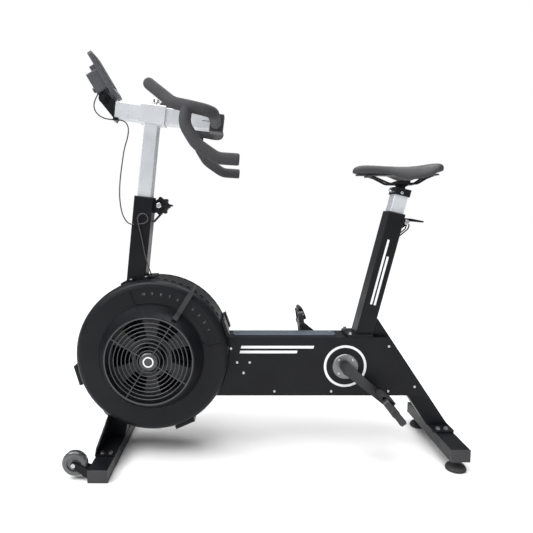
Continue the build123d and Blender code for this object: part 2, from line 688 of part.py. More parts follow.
def pedal(side):
    """A platform pedal with two windows, a barrel and rows of studs."""
    length = PEDAL_HALF_LENGTH
    body = box((-length, length), PEDAL_SPAN, (-9, 9))
    body = fillet(body.edges().filter_by(Axis.Z), 10)
    for window in ((-length + 9, -16), (16, length - 9)):
        body -= box(window, (PEDAL_SPAN[0] + 9, PEDAL_SPAN[1] - 9), (-20, 20))
    body += cyl_y(0, 0, 12.5, (PEDAL_SPAN[0], PEDAL_SPAN[1]))
    for x in (-length + 4.5, length - 4.5):
        for index in range(6):
            y = PEDAL_SPAN[0] + 15 + index * 12.5
            body += box((x - 2.5, x + 2.5), (y - 2, y + 2), (-11, 11))
    body -= cyl_y(0, 0, PEDAL_SPINDLE_RADIUS + RUNNING_CLEARANCE, (-197, -90))
    return place_pedal(body, side)


def toe_strap(side):
    """The toe strap, lying folded down over the front of its pedal."""
    length = PEDAL_HALF_LENGTH
    outer = [(-length, -6), (-57, -5), (-62, 3), (-52, 13), (-17, 21), (-14, 9), (-17, 9),
             (-19, 17.5), (-50, 10), (-58, 2.5), (-56, -2.5), (-length, -3)]
    middle = (PEDAL_SPAN[0] + PEDAL_SPAN[1]) / 2
    return place_pedal(plate_xz(outer, (middle - 29, middle + 29)), side)


# ---------------------------------------------------------------- handlebar side

def bar_post():
    """The sliding front post with the sleeve that holds the stem."""
    half_x, half_y = INNER_POST[0] / 2, INNER_POST[1] / 2
    post = box((-half_x, half_x), (-half_y, half_y), INNER_POST_SPAN)
    post = fillet(post.edges().filter_by(Axis.Z), 3)
    post -= box((-half_x + 2.5, half_x - 2.5), (-half_y + 2.5, half_y - 2.5),
                (INNER_POST_SPAN[0] - 1, INNER_POST_SPAN[1] + 20))
    half = STEM_SIZE / 2 + 5
    sleeve = box(SLEEVE_SPAN, (-half, half), (-half, half))
    sleeve = fillet(sleeve.edges().filter_by(Axis.X), 4)
    post = POST * post - STEM * box(SLEEVE_SPAN, (-half, half), (-half, half))
    gap = STEM_SIZE / 2 + SLIDE_CLEARANCE
    sleeve -= box((SLEEVE_SPAN[0] - 1, SLEEVE_SPAN[1] + 1), (-gap, gap), (-gap, gap))
    sleeve -= cyl_z(0, 0, PIVOT_RADIUS + RUNNING_CLEARANCE, (20, 40))
    return post + STEM * sleeve


def stem_tube():
    """The stem: a square tube that slides in the sleeve and pinches the handlebar."""
    half = STEM_SIZE / 2
    stem = box(STEM_SPAN, (-half, half), (-half, half))
    stem = fillet(stem.edges().filter_by(Axis.X), 3)
    wall = TUBE_WALL
    stem -= box((STEM_SPAN[0] - 1, STEM_SPAN[1] - 6), (-half + wall, half - wall),
                (-half + wall, half - wall))
    stem -= box((158, 190), (-40, 40), (-1, 1))
    return STEM * stem - cyl_y(BAR_X, BAR_Z, BAR_CORE_RADIUS, (-40, 40))


def stem_end_plate():
    """The black cap that closes the stem's rear end round the handlebar clamp."""
    half = STEM_SIZE / 2
    end = STEM_SPAN[1]
    cap = box((end - 36, end + 5), (-half - 3, half + 3), (-half - 5, half + 2))
    cap = fillet(cap.edges().filter_by(Axis.X), 4)
    cap -= box((end - 40, end), (-half, half), (-half, half))
    return STEM * cap - cyl_y(BAR_X, BAR_Z, BAR_CORE_RADIUS, (-40, 40))


def handlebar():
    """The foam-covered bar: a cross bar, two forward horns and two drops."""
    rail = [(BAR_X, -38, BAR_Z), (BAR_X, -208, BAR_Z), (-222, -216, 1081), (-273, -198, 1095),
            (-347, -145, 1160)]
    drop = [(-232, -212, 1081), (-239, -221, 1034), (-207, -226, 980), (-148, -228, 939),
            (-86, -228, 935)]
    left = bent_rod(rail, BAR_RADIUS, [36, 60, 70])
    tip = Pos(*rail[-1]) * Sphere(BAR_RADIUS)
    left += tip
    grip = bent_rod(drop, BAR_RADIUS, [55, 70, 55])
    end = grip.faces().sort_by_distance(Vector(*drop[-1]))[0]
    left += fillet(end.edges(), 6)
    core = cyl_y(BAR_X, BAR_Z, BAR_CORE_RADIUS, (-45, 45))
    return core + left + mirrored(left)


def console_bracket():
    """The black bracket on the stem's front end, with the console's pivot bolt."""
    start = STEM_SPAN[0]
    half = STEM_SIZE / 2
    plate = box((start - 3, start), (-half, half), (-half - 9, half))
    clip = box((start - 3, start + 12), (-30, -10), (-half - 9, -half))
    bracket = STEM * (plate + clip)
    x, _, z = CONSOLE_PIVOT
    upper = (STEM * Pos(start - 2, 0, half - 3)).position
    lower = (STEM * Pos(start - 2, 0, -half)).position
    for side in (-1, 1):
        y = sorted((side * 22, side * 25))
        bracket += hull_xz([(x, z, 16), (upper.X, upper.Z, 1.5), (lower.X, lower.Z, 1.5)], y)
    bracket += cyl_y(x, z, PIVOT_RADIUS, (-27, 27))
    for side in (-1, 1):
        bracket += cyl_y(x, z, 16.5, sorted((side * 25, side * 27)))
        bracket += cyl_y(x, z, 11, sorted((side * 27, side * 29)))
        bracket += cyl_y(x, z, 7, sorted((side * 29, side * 33)))
    return bracket - lead(LEAD_UPPER) - lead(LEAD_MIDDLE)


def console_housing():
    """The console's case, battery box and pivot lug, in the console's frame."""
    half = CONSOLE_HALF_WIDTH
    case = box((27.7, CONSOLE_FACE), (-half, half), (-14, 137.5))
    case = fillet(case.edges().filter_by(Axis.X), 12)
    case = fillet(case.edges().group_by(Axis.X)[0], 3)
    battery = box((-11, 27.7), (-34, 34), (18, 86))
    battery = fillet(battery.edges().filter_by(Axis.X), 5)
    step = box((10, 27.7), (-30, 30), (86, 101))
    lug = cyl_y(0, 0, 15, (-21.5, 21.5)) + box((0, 27.7), (-21.5, 21.5), (-14, 20))
    knob = cyl_x(0, 43, 8, (-20, -11))
    housing = case + battery + step + lug + knob
    housing -= cyl_y(0, 0, PIVOT_RADIUS + RUNNING_CLEARANCE, (-30, 30))
    for y in BUTTON_Y:
        housing -= cyl_x(y, 0, BUTTON_RADIUS + 0.1, (CONSOLE_FACE - 4, CONSOLE_FACE + 1))
    return CONSOLE * housing - lead(LEAD_UPPER)


def console_screen():
    screen = box((CONSOLE_FACE, CONSOLE_FACE + 1.5), (-38, 38), (22, 126))
    return CONSOLE * fillet(screen.edges().filter_by(Axis.X), 5)


def console_button(y):
    """One push button, which travels into its recess."""
    button = cyl_x(y, 0, BUTTON_RADIUS, (CONSOLE_FACE - 1.5, CONSOLE_FACE + 2.5))
    return CONSOLE * fillet(button.edges().group_by(Axis.X)[-1], 1)


def cam_lever(pivot, length, lift):
    """A cam lever with its hub between the ears of a post, in the post's frame."""
    x, z = pivot
    hub = cyl_y(x, z, 8.5, (-10.5, 10.5))
    outline = [(x - 9, z + 6), (x - 6, z + 12), (x + 14, z + 12 + lift * 0.3),
               (x + length, z + 6 + lift), (x + length - 2, z + 1 + lift),
               (x + 16, z + 4 + lift * 0.2), (x, z + 3)]
    blade = rounded_xz(outline, [1.5] * len(outline), (-10.5, 10.5))
    lever = hub + blade
    return lever - cyl_y(x, z, PIVOT_RADIUS + RUNNING_CLEARANCE, (-20, 20))


def seat_lever():
    return SEAT * cam_lever(SEAT_PIVOT, 58, 11)


def post_lever():
    return POST * cam_lever(POST_PIVOT, 44, 0)


def star(radius, lobes, thickness):
    """A knob with rounded lobes and a stepped cap, standing on the XY plane."""
    standing = (Align.CENTER, Align.CENTER, Align.MIN)
    knob = Cylinder(radius * 0.82, thickness * 0.85, align=standing)
    for index in range(lobes):
        turn = math.radians(index * 360 / lobes)
        place = Pos(radius * 0.8 * math.cos(turn), radius * 0.8 * math.sin(turn), 0)
        knob += place * Cylinder(radius * 0.2, thickness * 0.85, align=standing)
    cap = Cylinder(radius * 0.7, thickness, align=standing)
    return knob + fillet(cap.edges().group_by(Axis.Z)[-1], thickness * 0.12)


def post_knob():
    """The star knob on the far end of the front post's clamp bolt."""
    x, z = POST_PIVOT
    knob = Pos(x, KNOB_Y, z) * Rot(-90, 0, 0) * star(30, 7, 20)
    return POST * (knob - cyl_y(x, z, PIVOT_RADIUS + RUNNING_CLEARANCE, (KNOB_Y - 1, KNOB_Y + 15)))


def stem_knob():
    """The bright knob on top of the sleeve that locks the stem."""
    base = STEM_SIZE / 2 + 5
    knob = Pos(0, 0, base + 9) * star(15, 6, 13)
    neck = cyl_z(0, 0, 7.5, (base + 0.3, base + 9))
    stud = cyl_z(0, 0, PIVOT_RADIUS, (base - 4.5, base + 1))
    return STEM * (knob + neck + stud)


# ---------------------------------------------------------------- seat side

CAP_SPAN = (461, 484)
CLAMP_Z = 490
CLAMP_PIN_RADIUS = 3.5


def seat_post():
    """The sliding seat post with its black cap."""
    half_x, half_y = INNER_SEAT[0] / 2, INNER_SEAT[1] / 2
    post = box((-half_x, half_x), (-half_y, half_y), INNER_SEAT_SPAN)
    post = fillet(post.edges().filter_by(Axis.Z), 3)
    return SEAT * (post - box((-half_x + 2.5, half_x - 2.5), (-half_y + 2.5, half_y - 2.5),
                              (INNER_SEAT_SPAN[0] - 1, INNER_SEAT_SPAN[1] - 10)))


def seat_cap():
    """The cap over the seat post, with the two lugs that the saddle clamp turns between."""
    half_x, half_y = INNER_SEAT[0] / 2, INNER_SEAT[1] / 2
    cap = box((-half_x - 4, half_x + 5), (-half_y - 4, half_y + 4), CAP_SPAN)
    cap = fillet(cap.edges().filter_by(Axis.Z), 5)
    cap -= box((-half_x, half_x), (-half_y, half_y), (CAP_SPAN[0] - 1, INNER_SEAT_SPAN[1]))
    for side in (-1, 1):
        y = sorted((side * 12, side * 16))
        lug = hull_xz([(0, CLAMP_Z, 6.5), (-9, CAP_SPAN[1] - 1, 3), (9, CAP_SPAN[1] - 1, 3)], y)
        cap += lug
    bolt = cyl_y(0, CLAMP_Z, CLAMP_PIN_RADIUS, (-18, 18))
    return SEAT * (cap + bolt)


def seat_cap_bolts():
    """The bright bolts at the front and sides of the seat post's cap."""
    side_y, z = INNER_SEAT[1] / 2 + 4, CAP_SPAN[0] + 8
    bolts = [screw_y(-2, z, side * side_y, side, 4.5, 3) for side in (-1, 1)]
    front_x = -INNER_SEAT[0] / 2 - 4
    bolts += [cyl_x(0, z + 4, 7, (front_x - 4, front_x)) + cyl_x(0, z + 4, 4.5, (front_x - 10, front_x))]
    return SEAT * group(bolts)


def clamp_place():
    """The saddle clamp's frame: level, on the clamp bolt's axis."""
    centre = SEAT * Pos(0, 0, CLAMP_Z)
    return Pos(centre.position.X, 0, centre.position.Z)


RAIL_HEIGHT = 10


def saddle_clamp():
    """The clamp that turns on its bolt and grips the two saddle rails."""
    block = hull_xz([(0, 0, 5.5), (-18, RAIL_HEIGHT, 4), (20, RAIL_HEIGHT, 4)], (-11.5, 11.5))
    jaws = box((-20, 20), (-28, 28), (RAIL_HEIGHT - 2, RAIL_HEIGHT + 9))
    for side in (-1, 1):
        jaws -= cyl_x(side * RAIL_Y, RAIL_HEIGHT, RAIL_RADIUS + RUNNING_CLEARANCE, (-30, 30))
    clamp = block + jaws
    clamp += cyl_z(0, 0, 6, (RAIL_HEIGHT + 8, RAIL_HEIGHT + 12))
    clamp -= cyl_y(0, 0, CLAMP_PIN_RADIUS + RUNNING_CLEARANCE, (-30, 30))
    return clamp_place() * clamp


def saddle_rails():
    """The two steel rails under the saddle."""
    level = clamp_place().position.Z + RAIL_HEIGHT
    rails = []
    for side in (-1, 1):
        points = [(330, side * 12, 908), (350, side * 14, 903), (392, side * RAIL_Y, level),
                  (482, side * RAIL_Y, level), (508, side * 28, 900), (522, side * 31, 906)]
        rails.append(bent_rod(points, RAIL_RADIUS, [14, 24, 18, 12]))
    return group(rails)


SADDLE_OUTLINE = [(278, 4), (286, 17), (310, 21), (360, 25), (410, 36), (455, 58), (500, 74),
                  (536, 76), (556, 62), (562, 30)]


def saddle_plan(inset):
    """A tall prism with the saddle's outline seen from above."""
    left = []
    for x, half in SADDLE_OUTLINE:
        middle = (SADDLE_X[0] + SADDLE_X[1]) / 2
        left.append((x + inset * (1 if x < middle else -1), max(half - inset, 1)))
    outline = left + [(x, -half) for x, half in reversed(left)]
    return extrude(Polygon(*outline, align=None), amount=1000, dir=(0, 0, 1))


def saddle_pad():
    """The padded saddle: its plan cut to its side profile."""
    plan = saddle_plan(0)
    side = [(278, 916), (282, 932), (300, 942), (330, 943), (400, 938), (450, 936), (500, 941),
            (540, 948), (556, 944), (562, 930), (551, 922), (520, 914), (455, 914), (330, 914)]
    pad = plan & plate_xz(side, (-100, 100))
    wing = plan & plate_xz([(395, 915), (425, 896), (455, 890), (485, 898), (512, 915)], (-100, 100))
    inner_wing = wing & box((380, 520), (-34, 34), (880, 920))
    return pad + (wing - inner_wing)


def saddle_shell():
    """The plastic base under the pad, with bosses that hold the rails."""
    plan = saddle_plan(8)
    base = plan & plate_xz([(290, 909), (548, 909), (544, 913.7), (290, 913.7)], (-100, 100))
    base &= box((270, 580), (-33.5, 33.5), (800, 1000))
    for points in ((322, 340), (512, 528)):
        base += box(points, (-20, 20) if points[0] < 400 else (-33.5, 33.5), (904, 910))
    return base - saddle_rails()


# ---------------------------------------------------------------- ground contact

def transport_wheel(side):
    """A transport wheel: a soft tyre on a hub with a bearing bore."""
    half = WHEEL_HALF_WIDTH
    tyre = cyl_y(WHEEL_X, WHEEL_Z, WHEEL_RADIUS, (-WHEEL_Y - half, -WHEEL_Y + half))
    tyre = fillet(tyre.edges(), 8)
    for y in ((-WHEEL_Y - half - 1, -WHEEL_Y - half + 4), (-WHEEL_Y + half - 4, -WHEEL_Y + half + 1)):
        tyre -= ring_y(WHEEL_X, WHEEL_Z, 22, 11, y)
    wheel = tyre - cyl_y(WHEEL_X, WHEEL_Z, AXLE_RADIUS + RUNNING_CLEARANCE, (-300, 0))
    return wheel if side < 0 else mirrored(wheel)


def levelling_foot(side):
    """A levelling foot: a bell-shaped pad, a nut and a stud."""
    nut_top = REAR_STAB_BOTTOM + 0.2
    profile = [(0, 0), (30, 0), (31, 2), (31, 6), (27, 13), (17, 20), (13, 24), (13, 28),
               (8.5, 28), (8.5, nut_top), (FOOT_STUD_RADIUS, nut_top), (FOOT_STUD_RADIUS, 60), (0, 60)]
    foot = revolve(Plane.XZ * Polygon(*profile, align=None), Axis.Z)
    return Pos(FOOT_X, side * FOOT_Y, 0) * foot


# ---------------------------------------------------------------- bolts and leads

def frame_bolts():
    """Every fixed bolt, screw and pivot pin of the frame."""
    bolts = []
    panel_y = -BODY_HALF_WIDTH - PANEL_THICKNESS
    panel_screws = [(-94, 306), (-53, 306), (-73, 271), (-114, 352), (28, 209), (214, 209),
                    (401, 209), (399, 359), (487, 224)]
    for x, z in panel_screws:
        screw = screw_y(x, z, panel_y, -1, 4.2, 2.5)
        bolts += [screw, mirrored(screw)]
    flange_y = panel_y - 6
    for index in range(4):
        turn = math.radians(45 + 90 * index)
        screw = screw_y(CRANK_X + 31 * math.cos(turn), CRANK_Z + 31 * math.sin(turn), flange_y, -1,
                        4, 2.5)
        bolts += [screw, mirrored(screw)]
    for x in (-91, 59, 215):
        bolts.append(cyl_z(x, 0, 5, (BODY_TOP + 5, BODY_TOP + 7.5)))
    for x, y, z in ((274, 40, SEAT_FOOT[2]), (566, 58, REAR_STAB_BOTTOM + STAB_HEIGHT + 6),
                    (592, 58, REAR_STAB_BOTTOM + STAB_HEIGHT + 6),
                    (-514, 145, STAB_HEIGHT + 6), (-488, 145, STAB_HEIGHT + 6)):
        bolt = bolt_z(x, -y, z, 6, 5)
        bolts += [bolt, mirrored(bolt)]
    lug_top = HOOP_RADIUS + FLANGE_THICKNESS
    for angle in POST_LUG_ANGLES:
        bolts.append(fan_radial(angle) * cyl_x(-54, 0, 4.5, (lug_top, lug_top + 3)))
    wheel_bolt = cyl_y(WHEEL_X, WHEEL_Z, AXLE_RADIUS, (-WHEEL_Y - 17, -WHEEL_Y + 17))
    for ends in ((-WHEEL_Y - 21, -WHEEL_Y - 16.6), (-WHEEL_Y + 16.6, -WHEEL_Y + 21)):
        wheel_bolt += cyl_y(WHEEL_X, WHEEL_Z, 6.5, ends)
    bolts += [wheel_bolt, mirrored(wheel_bolt)]
    for frame, (x, z), far_end in ((SEAT, SEAT_PIVOT, 19), (POST, POST_PIVOT, KNOB_Y + 14)):
        pin = cyl_y(x, z, PIVOT_RADIUS, (-19, far_end)) + cyl_y(x, z, 8, (15, 20.5))
        pin += screw_y(x, z, -15, -1, 9, 9)
        bolts.append(frame * pin)
    return group(bolts)


def lead(points):
    """One length of the console lead, along straight runs joined by bends."""
    return bent_rod(points, LEAD_DIAMETER / 2)


# ---------------------------------------------------------------- the node list

PARTS = {
    "fan_hoop": fan_hoop(),
    "body_frame": body_frame(),
    "rear_leg": rear_leg(),
    "front_leg": front_leg(),
    "left_side_panel": side_panel(),
    "right_side_panel": mirrored(side_panel()),
    "top_cover": top_cover(),
    "front_stabilizer": front_stabilizer(),
    "rear_stabilizer": rear_stabilizer(),
    "stabilizer_caps": stabilizer_caps(),
    "seat_tube": seat_tube(),
    "post_tube": post_tube(),
    "tube_guides": tube_guides(),
    "left_fan_shell": left_fan_shell(),
    "right_fan_shell": mirrored(fan_shell_body()),
    "left_fan_grille": fan_grille(),
    "right_fan_grille": mirrored(fan_grille()),
    "shell_clips": shell_clips(),
    "fan_axle": fan_axle(),
    "bearings": bearings(),
    "frame_bolts": frame_bolts(),
    "drive_belt": drive_belt(),
    "fan_belt": fan_belt(),
    "lead_lower": lead(LEAD_LOWER),
    "damper": damper(),
    "fan_wheel": fan_wheel(),
    "jackshaft": jackshaft(),
    "crank_axle": crank_axle(),
    "left_crank_arm": crank_arm(-1),
    "right_crank_arm": crank_arm(1),
    "left_pedal": pedal(-1),
    "left_toe_strap": toe_strap(-1),
    "right_pedal": pedal(1),
    "right_toe_strap": toe_strap(1),
    "bar_post": bar_post(),
    "lead_middle": lead(LEAD_MIDDLE),
    "stem_tube": stem_tube(),
    "stem_end_plate": stem_end_plate(),
    "handlebar": handlebar(),
    "console_bracket": console_bracket(),
    "lead_upper": lead(LEAD_UPPER),
    "console_housing": console_housing(),
    "console_screen": console_screen(),
    "left_button": console_button(BUTTON_Y[0]),
    "middle_button": console_button(BUTTON_Y[1]),
    "right_button": console_button(BUTTON_Y[2]),
    "seat_post": seat_post(),
    "seat_cap": seat_cap(),
    "seat_cap_bolts": seat_cap_bolts(),
    "saddle_clamp": saddle_clamp(),
    "saddle_rails": saddle_rails(),
    "saddle_shell": saddle_shell(),
    "saddle_pad": saddle_pad(),
    "seat_lever": seat_lever(),
    "post_lever": post_lever(),
    "post_knob": post_knob(),
    "stem_knob": stem_knob(),
    "left_wheel": transport_wheel(-1),
    "right_wheel": transport_wheel(1),
    "left_foot": levelling_foot(-1),
    "right_foot": levelling_foot(1),
}

os.makedirs("parts", exist_ok=True)
for name, shape in PARTS.items():
    export_step(shape, f"parts/{name}.step")
for name, points in (("upper", LEAD_UPPER), ("middle", LEAD_MIDDLE), ("lower", LEAD_LOWER)):
    print("lead", name, "bend radii", [round(radius, 1) for radius in corner_radii(points)])
print(len(PARTS), "nodes")
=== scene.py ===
import math

import bpy
from mathutils import Matrix, Vector


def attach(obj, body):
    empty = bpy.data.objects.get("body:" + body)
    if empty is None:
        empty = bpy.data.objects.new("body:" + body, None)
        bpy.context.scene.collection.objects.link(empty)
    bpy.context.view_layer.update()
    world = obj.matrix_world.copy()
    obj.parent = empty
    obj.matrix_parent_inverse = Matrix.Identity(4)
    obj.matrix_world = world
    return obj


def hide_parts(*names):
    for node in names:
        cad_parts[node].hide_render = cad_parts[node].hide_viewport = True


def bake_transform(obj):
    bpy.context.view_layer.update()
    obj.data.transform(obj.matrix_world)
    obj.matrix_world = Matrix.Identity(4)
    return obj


# An air bike on a pale floor. Metres. The row frame has its origin on the floor under the
# machine's middle: +X from the fan to the seat, +Z up, and the rider's left side is -Y.

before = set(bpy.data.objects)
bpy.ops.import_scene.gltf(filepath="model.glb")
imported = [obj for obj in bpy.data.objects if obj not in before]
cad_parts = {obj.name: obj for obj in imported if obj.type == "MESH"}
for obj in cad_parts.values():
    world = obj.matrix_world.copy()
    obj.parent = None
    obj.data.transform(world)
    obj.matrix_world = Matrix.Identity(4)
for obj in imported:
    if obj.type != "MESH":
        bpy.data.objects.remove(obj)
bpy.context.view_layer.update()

# ---- camera
CAMERA_PLACE = (-0.0845, -1.6, 0.7787)
CAMERA_PITCH = 5.85
CAMERA_LENS = 32.96
CAMERA_SHIFT = 0.0497

# ---- axes and faces of the machine that the decals, scale and saddle are set out from
FAN = (-0.363, 0.339)
CRANK = (0.2583, 0.293)
SEAT_FOOT, SEAT_LEAN = (0.3225, 0.397), 13.63
SHELL_FACE_Y = -0.105
SCALE_RADIUS = 0.201
SCALE_ANGLES = (26, 96)

# ---- console lead, as the corners of its route
LEAD_RADIUS = 0.002
LEAD_UPPER = [(-0.5256, -0.03, 1.1631), (-0.537, -0.03, 1.144), (-0.543, -0.031, 1.121),
              (-0.534, -0.03, 1.099), (-0.512, -0.027, 1.085), (-0.491, -0.022, 1.083),
              (-0.47, -0.02, 1.082)]
LEAD_MIDDLE = [(-0.47, -0.02, 1.082), (-0.449, -0.018, 1.081), (-0.435, -0.025, 1.058),
               (-0.437, -0.034, 1.026), (-0.448, -0.038, 0.991), (-0.455, -0.038, 0.95),
               (-0.463, -0.038, 0.9), (-0.467, -0.038, 0.85), (-0.464, -0.038, 0.808),
               (-0.456, -0.0375, 0.776), (-0.438, -0.036, 0.75165), (-0.418, -0.036, 0.754)]
LEAD_LOWER = [(-0.418, -0.036, 0.754), (-0.401, -0.036, 0.756), (-0.3875, -0.036, 0.757),
              (-0.378, -0.0365, 0.766), (-0.378, -0.0375, 0.779), (-0.3875, -0.0385, 0.788),
              (-0.4005, -0.0395, 0.788), (-0.4095, -0.0405, 0.779), (-0.41, -0.0412, 0.765),
              (-0.406, -0.041, 0.745), (-0.401, -0.038, 0.722), (-0.395, -0.036, 0.688),
              (-0.389, -0.036, 0.652), (-0.38, -0.034, 0.617), (-0.371, -0.03, 0.59)]
LEAD_SPLIT_Z = 1.0

# ---- printed marks: a ring round the crank, one on the fan's hub cap, and plain stripes
PRINT_COLOUR = (0.72, 0.73, 0.74)
CRANK_RING = (0.0615, 0.0695)
HUB_RING = (0.0125, 0.0165)
HUB_CAP_Y = 0.1585
STRIPE_SLANT = 0.25
# Each stripe on the panel: its two heights, and its ends measured along the slant.
PANEL_STRIPES = [(0.352, 0.361, -0.170, 0.066), (0.336, 0.345, -0.170, 0.016)]
# Each stripe on the seat tube: across the tube from its middle, and along it from its foot.
TUBE_STRIPES = [(-0.009, -0.002, 0.100, 0.315), (0.003, 0.010, 0.100, 0.262)]
TUBE_SIDE_Y = 0.0365
SCALE_SIZE = 0.012

# ---- studio
WORLD_ON_SURFACES = 0.22
SUN_POWER, SUN_ANGLE = 3.7, 60


# ---------------------------------------------------------------- materials

class Shader:
    """A small builder for one procedural material."""

    def __init__(self, name):
        self.material = bpy.data.materials.new(name)
        self.material.use_nodes = True
        self.nodes = self.material.node_tree.nodes
        self.links = self.material.node_tree.links
        self.surface = self.nodes["Principled BSDF"]
        self.place = self.nodes.new("ShaderNodeTexCoord").outputs["Object"]

    def value(self, socket, number):
        self.surface.inputs[socket].default_value = number

    def link(self, output, socket):
        self.links.new(output, socket)
        return output

    def noise(self, scale, detail=4, stretch=None):
        """A noise texture in object space, stretched along the given axes."""
        node = self.nodes.new("ShaderNodeTexNoise")
        node.inputs["Scale"].default_value = scale
        node.inputs["Detail"].default_value = detail
        place = self.place
        if stretch:
            mapping = self.nodes.new("ShaderNodeMapping")
            mapping.inputs["Scale"].default_value = stretch
            self.links.new(place, mapping.inputs["Vector"])
            place = mapping.outputs["Vector"]
        self.links.new(place, node.inputs["Vector"])
        return node.outputs["Fac"]

    def ranged(self, output, low, high, start=0.3, end=0.7):
        """A texture's value mapped from start..end to low..high."""
        node = self.nodes.new("ShaderNodeMapRange")
        node.inputs["From Min"].default_value = start
        node.inputs["From Max"].default_value = end
        node.inputs["To Min"].default_value = low
        node.inputs["To Max"].default_value = high
        self.links.new(output, node.inputs["Value"])
        return node.outputs["Result"]

    def mixed(self, factor, first, second):
        """A mix of two colours, or of a colour and a colour output."""
        node = self.nodes.new("ShaderNodeMix")
        node.data_type = "RGBA"
        self.links.new(factor, node.inputs["Factor"])
        for socket, colour in ((node.inputs["A"], first), (node.inputs["B"], second)):
            if isinstance(colour, tuple):
                socket.default_value = (*colour, 1)
            else:
                self.links.new(colour, socket)
        return node.outputs["Result"]

    def bump(self, output, strength, distance):
        node = self.nodes.new("ShaderNodeBump")
        node.inputs["Strength"].default_value = strength
        node.inputs["Distance"].default_value = distance
        self.links.new(output, node.inputs["Height"])
        self.links.new(node.outputs["Normal"], self.surface.inputs["Normal"])

    def math(self, operation, first, second):
        node = self.nodes.new("ShaderNodeMath")
        node.operation = operation
        for socket, item in zip(node.inputs, (first, second)):
            if isinstance(item, (int, float)):
                socket.default_value = item
            else:
                self.links.new(item, socket)
        return node.outputs[0]

    def split(self):
        """The object-space X, Y and Z outputs."""
        node = self.nodes.new("ShaderNodeSeparateXYZ")
        self.links.new(self.place, node.inputs[0])
        return node.outputs


def finish_of(name, dark, light, rough, metallic=0.0, grain=90, dirt=6, bump=0.08, depth=0.0004,
              stretch=None, coat=0.0):
    """A surface whose colour and gloss drift slowly and whose skin has a fine grain."""
    shader = Shader(name)
    drift = shader.ranged(shader.noise(dirt, 5), 0, 1)
    shader.link(shader.mixed(drift, dark, light), shader.surface.inputs["Base Color"])
    gloss = shader.ranged(shader.noise(dirt * 3, 6), rough[0], rough[1])
    shader.link(gloss, shader.surface.inputs["Roughness"])
    shader.value("Metallic", metallic)
    shader.value("Coat Weight", coat)
    shader.value("Coat Roughness", 0.12)
    shader.bump(shader.noise(grain, 3, stretch), bump, depth)
    return shader


def black_coat(name):
    """Satin black with few reflections, for powder coat and for the fan's shells."""
    shader = finish_of(name, (0.005, 0.0052, 0.0065), (0.008, 0.0085, 0.0105), (0.3, 0.42),
                       grain=700, bump=0.12, depth=0.0002)
    shader.value("Specular IOR Level", 0.16)
    return shader


def ring_mask(shader, centre, inner, outer):
    """One inside a ring drawn round an axis along Y, and zero elsewhere."""
    x, _, z = shader.split()
    across = shader.math("SUBTRACT", x, centre[0])
    up = shader.math("SUBTRACT", z, centre[1])
    square = shader.math("ADD", shader.math("MULTIPLY", across, across),
                         shader.math("MULTIPLY", up, up))
    radius = shader.math("SQRT", square, 0)
    return shader.math("MULTIPLY", shader.math("GREATER_THAN", radius, inner),
                       shader.math("LESS_THAN", radius, outer))


def print_over(shader, mask):
    """Prints the pale mark colour over a surface where the mask is one."""
    base = shader.surface.inputs["Base Color"].links[0].from_socket
    shader.link(shader.mixed(mask, base, PRINT_COLOUR), shader.surface.inputs["Base Color"])


def panel_paint():
    """The body panel: black paint with a plain pale ring round the crank and two stripes."""
    shader = black_coat("panel paint")
    x, _, z = shader.split()
    lean = shader.math("SUBTRACT", x, shader.math("MULTIPLY", z, STRIPE_SLANT))
    mask = ring_mask(shader, CRANK, *CRANK_RING)
    for low, high, left, right in PANEL_STRIPES:
        stripe = shader.math("MULTIPLY", shader.math("GREATER_THAN", z, low),
                             shader.math("LESS_THAN", z, high))
        ends = shader.math("MULTIPLY", shader.math("GREATER_THAN", lean, left),
                           shader.math("LESS_THAN", lean, right))
        mask = shader.math("MAXIMUM", mask, shader.math("MULTIPLY", stripe, ends))
    print_over(shader, mask)
    return shader.material


def seat_tube_paint():
    """The seat tube: black paint with two pale stripes along its sides."""
    shader = black_coat("seat tube paint")
    x, y, z = shader.split()
    lean = math.radians(SEAT_LEAN)
    dx = shader.math("SUBTRACT", x, SEAT_FOOT[0])
    dz = shader.math("SUBTRACT", z, SEAT_FOOT[1])
    along = shader.math("ADD", shader.math("MULTIPLY", dx, math.sin(lean)),
                        shader.math("MULTIPLY", dz, math.cos(lean)))
    depth = shader.math("SUBTRACT", shader.math("MULTIPLY", dx, math.cos(lean)),
                        shader.math("MULTIPLY", dz, math.sin(lean)))
    side = shader.math("GREATER_THAN", shader.math("ABSOLUTE", y, 0), TUBE_SIDE_Y)
    mask = None
    for low, high, start, end in TUBE_STRIPES:
        band = shader.math("MULTIPLY", shader.math("GREATER_THAN", depth, low),
                           shader.math("LESS_THAN", depth, high))
        span = shader.math("MULTIPLY", shader.math("GREATER_THAN", along, start),
                           shader.math("LESS_THAN", along, end))
        stripe = shader.math("MULTIPLY", band, span)
        mask = stripe if mask is None else shader.math("MAXIMUM", mask, stripe)
    print_over(shader, shader.math("MULTIPLY", mask, side))
    return shader.material


def brushed(name, dark, light, rough, stretch):
    """Metal with fine lines along one axis."""
    return finish_of(name, dark, light, rough, metallic=1.0, grain=60, bump=0.05, depth=0.0002,
                     stretch=stretch).material


def grille_wire():
    """Coated dark wire, with a plain pale ring on the hub cap."""
    shader = finish_of("grille wire", (0.02, 0.021, 0.024), (0.04, 0.042, 0.046), (0.35, 0.5),
                       grain=500, coat=0.2)
    _, y, _ = shader.split()
    cap = shader.math("GREATER_THAN", shader.math("ABSOLUTE", y, 0), HUB_CAP_Y)
    print_over(shader, shader.math("MULTIPLY", ring_mask(shader, FAN, *HUB_RING), cap))
    return shader.material


def wheel_tyre():
    """Smoke-tinted polyurethane with a wet gloss."""
    return finish_of("wheel tyre", (0.03, 0.032, 0.035), (0.07, 0.073, 0.078), (0.12, 0.25),
                     grain=200, coat=0.6).material


